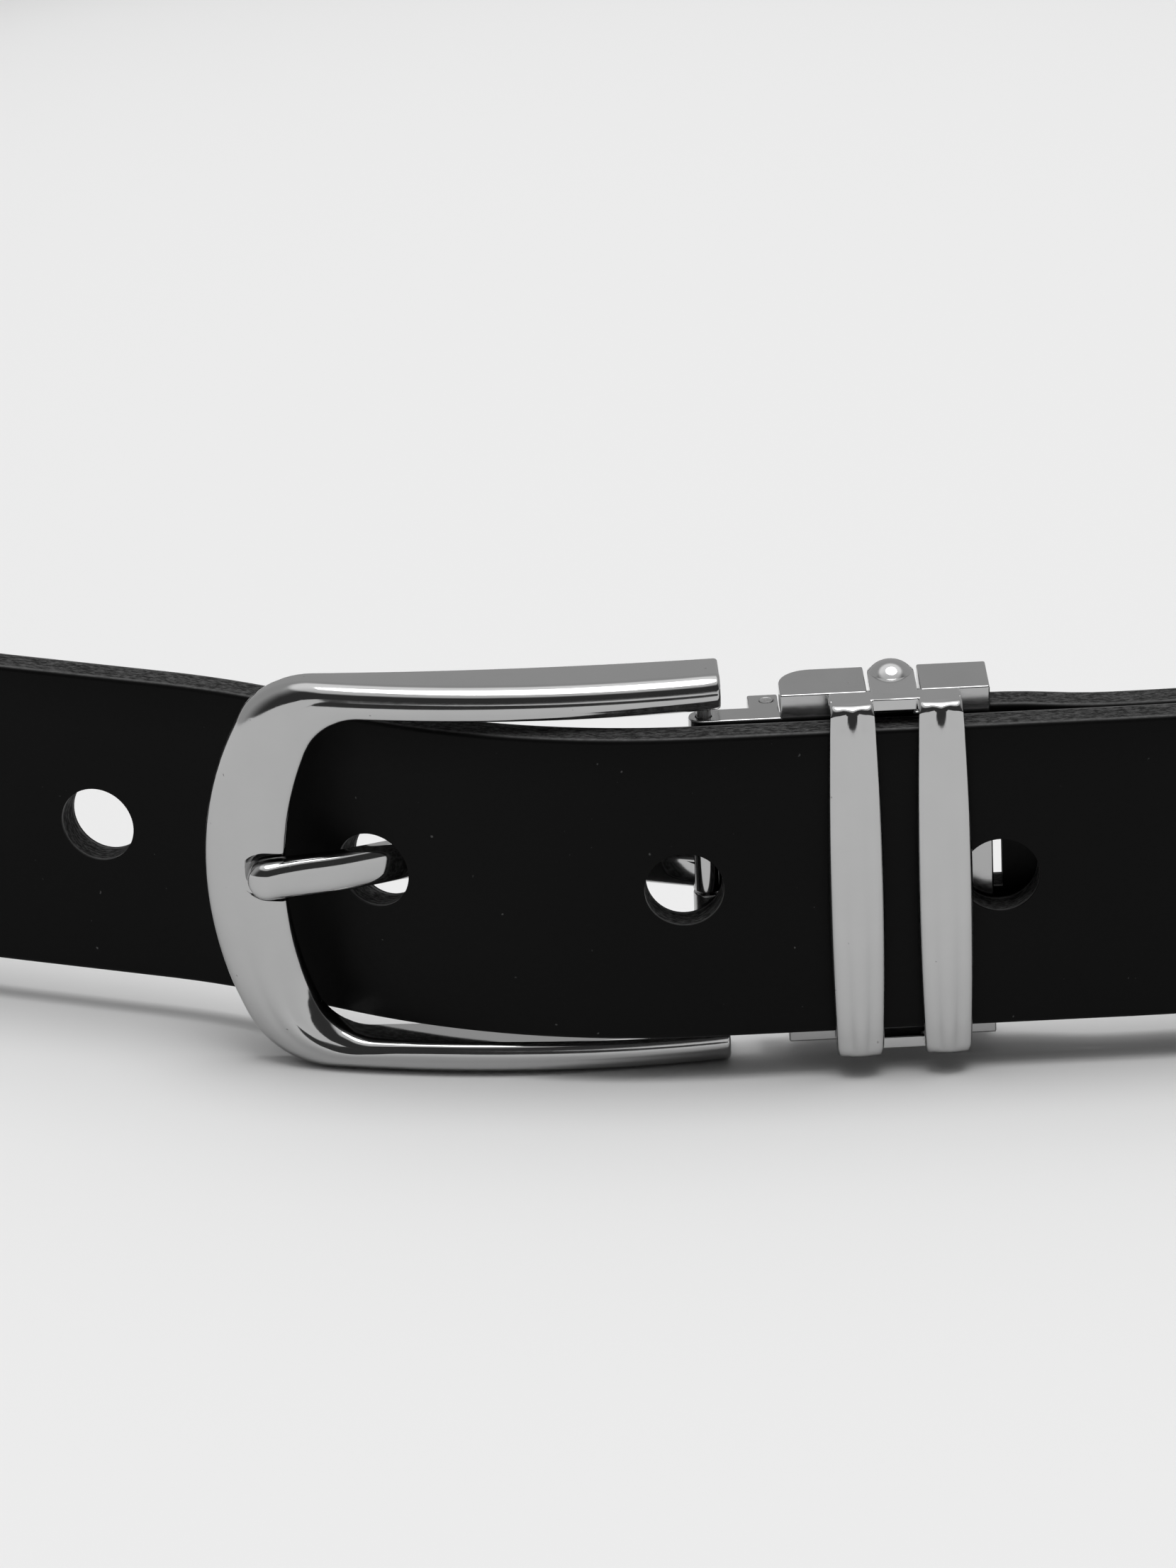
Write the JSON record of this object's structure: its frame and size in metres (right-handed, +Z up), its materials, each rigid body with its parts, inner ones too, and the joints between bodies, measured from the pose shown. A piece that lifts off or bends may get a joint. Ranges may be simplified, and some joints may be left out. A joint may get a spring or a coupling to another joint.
{
  "type": "leather belt",
  "caption": "Fastened dress belt: one bonded leather strap in a loop, held by a clamp buckle with a hinged frame, a prong and a double-bar keeper.",
  "frame": {"origin": "on the ground, under the middle of the belt's box", "axes": "+Z up; +X along the strap at the buckle, to the viewer's right; +Y from the buckle into the loop"},
  "size_m": [0.3182, 0.3372, 0.0387],
  "materials": {
    "grain_leather": "smooth black leather with a soft gloss, dark grey fibrous edges",
    "lining_leather": "matt black lining leather",
    "polished_frame": "mirror-polished nickel plate",
    "polished_keeper": "mirror-polished nickel plate",
    "clamp_metal": "nickel plate, less polished than the frame",
    "pin_steel": "drawn steel wire"
  },
  "bodies": {
    "belt": {"strap_face": "grain_leather", "strap_lining": "lining_leather", "clamp_base": "clamp_metal", "jaw_pin": "pin_steel", "keeper": "polished_keeper", "keeper_rivet_top": "polished_keeper", "keeper_rivet_bottom": "polished_keeper"},
    "frame": {"buckle_frame": "polished_frame", "axle_pin": "pin_steel"},
    "prong": {"prong": "polished_frame"},
    "jaw": {"clamp_jaw": "clamp_metal"}
  },
  "joints": [
    {"name": "frame_hinge", "type": "hinge", "parent": "belt", "child": "frame", "pos_m": [-0.01936, -0.16128, 0.01937], "axis": [0, 0.0132, 0.9999], "range_deg": [-1.2, 0]},
    {"name": "prong_hinge", "type": "hinge", "parent": "belt", "child": "prong", "pos_m": [-0.01936, -0.16128, 0.01937], "axis": [0, 0.0132, 0.9999], "range_deg": [0, 1]},
    {"name": "jaw_hinge", "type": "hinge", "parent": "belt", "child": "jaw", "pos_m": [-0.01346, -0.15838, 0.01933], "axis": [0, 0.0132, 0.9999], "range_deg": [0, 80]}
  ]
}
